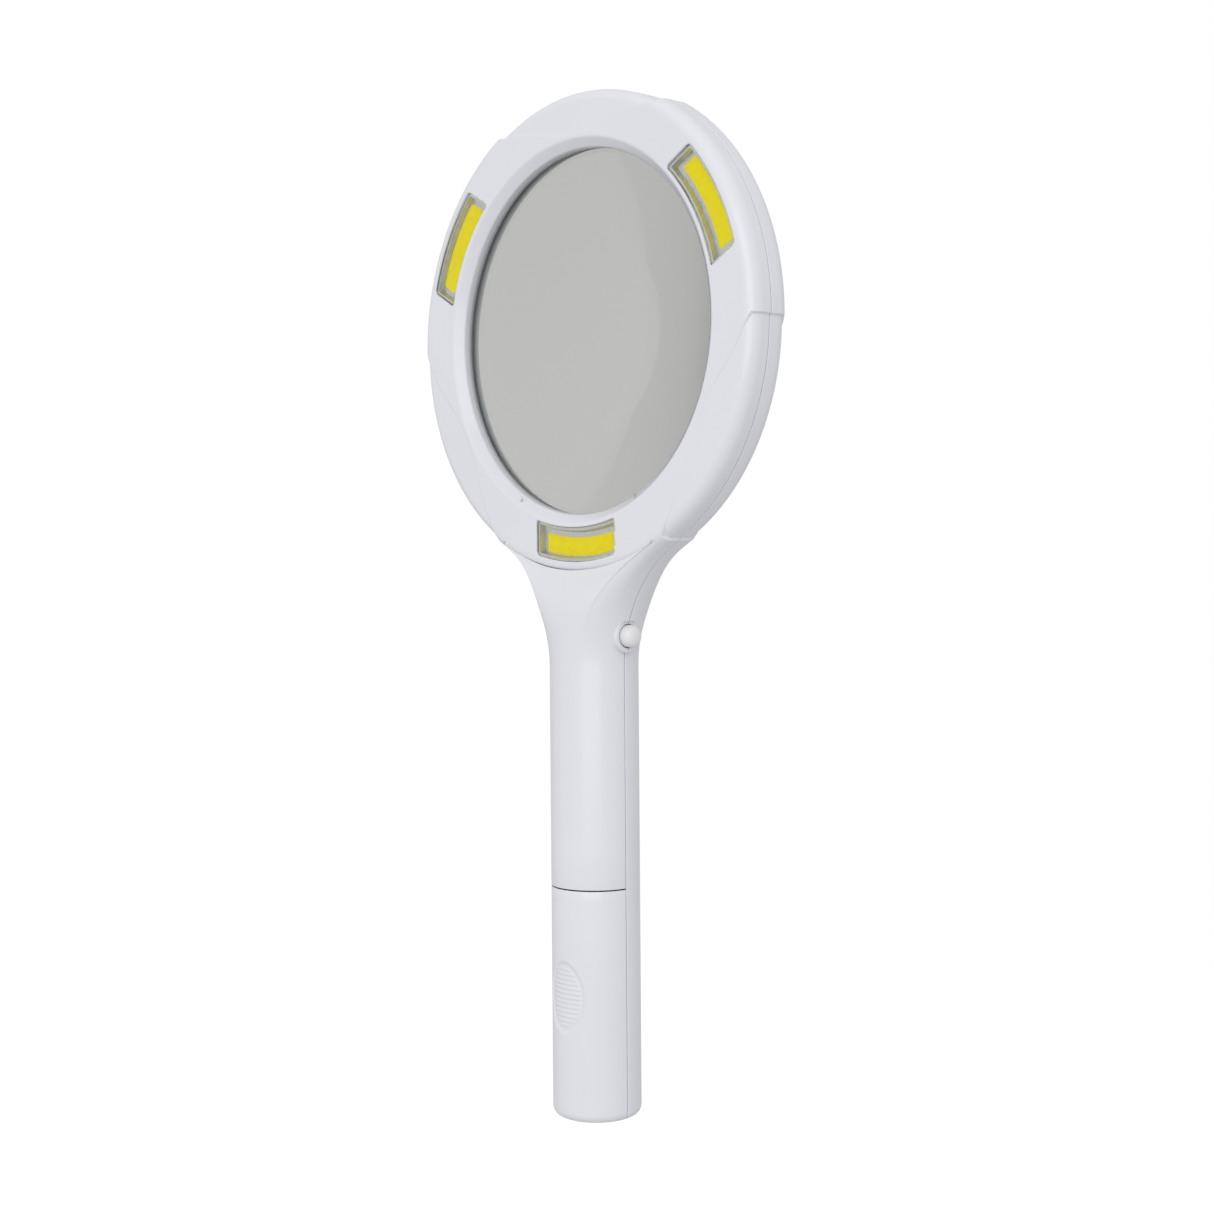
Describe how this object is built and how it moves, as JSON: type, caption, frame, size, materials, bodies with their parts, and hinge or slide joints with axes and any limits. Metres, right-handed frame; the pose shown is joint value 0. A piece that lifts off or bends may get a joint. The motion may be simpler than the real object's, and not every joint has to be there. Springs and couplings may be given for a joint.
{
  "type": "magnifying glass",
  "caption": "Hand magnifier with a large round lens in a white plastic rim, arc-shaped LED windows, a side push button and a round handle with a sliding battery door.",
  "frame": {"origin": "middle of the grip, on the handle's axis and in the seam plane between the two shells", "axes": "+Z along the handle to the lens, -Y out of the front of the lens, +X to the side with the push button"},
  "size_m": [0.1432, 0.0264, 0.3022],
  "materials": {
    "white_plastic": "smooth glossy white moulded plastic",
    "lens_glass": "polished clear optical glass with a faint blue-green edge",
    "clear_plastic": "polished clear plastic",
    "metallised_plastic": "vacuum-metallised plastic reflector",
    "yellow_phosphor": "even matt yellow phosphor layer over a strip of LEDs",
    "circuit_board": "white solder mask on a thin circuit board",
    "black_plastic": "plain black moulded plastic",
    "cell_jacket": "printed film jacket over a steel can",
    "nickel_plate": "bright nickel-plated spring steel",
    "zinc_screw": "bright zinc-plated steel",
    "red_insulation": "satin red wire insulation",
    "black_insulation": "satin black wire insulation"
  },
  "bodies": {
    "root": {"front_shell": "white_plastic", "back_shell": "white_plastic", "lens": "lens_glass", "window_cover_right": "clear_plastic", "window_cover_left": "clear_plastic", "window_cover_bottom": "clear_plastic", "reflector_right": "metallised_plastic", "reflector_left": "metallised_plastic", "reflector_bottom": "metallised_plastic", "led_strip_right": "yellow_phosphor", "led_strip_left": "yellow_phosphor", "led_strip_bottom": "yellow_phosphor", "led_board_right": "circuit_board", "led_board_left": "circuit_board", "led_board_bottom": "circuit_board", "switch_board": "circuit_board", "switch_body": "black_plastic", "resistor": "black_plastic", "battery_1": "cell_jacket", "battery_2": "cell_jacket", "battery_3": "cell_jacket", "contact_positive": "nickel_plate", "contact_bridge_end": "nickel_plate", "contact_bridge_top": "nickel_plate", "contact_negative": "nickel_plate", "battery_spring_1": "nickel_plate", "battery_spring_2": "nickel_plate", "battery_spring_3": "nickel_plate", "screw_ring_top": "zinc_screw", "screw_ring_left": "zinc_screw", "screw_ring_right": "zinc_screw", "screw_neck": "zinc_screw", "screw_handle": "zinc_screw", "wire_positive": "red_insulation", "wire_led_feed": "red_insulation", "wire_negative": "black_insulation", "wire_right_red": "red_insulation", "wire_right_black": "black_insulation", "wire_left_red": "red_insulation", "wire_left_black": "black_insulation"},
    "battery_door": {"battery_door": "white_plastic"},
    "power_button": {"power_button": "white_plastic", "switch_plunger": "black_plastic"}
  },
  "joints": [
    {"name": "battery_door_slide", "type": "slide", "parent": "root", "child": "battery_door", "axis": [0, 0, -1], "range_m": [0, 0.072]},
    {"name": "power_button_press", "type": "slide", "parent": "root", "child": "power_button", "axis": [-1, 0, 0], "range_m": [0, 0.0015], "stiffness_N_per_m": 400}
  ]
}
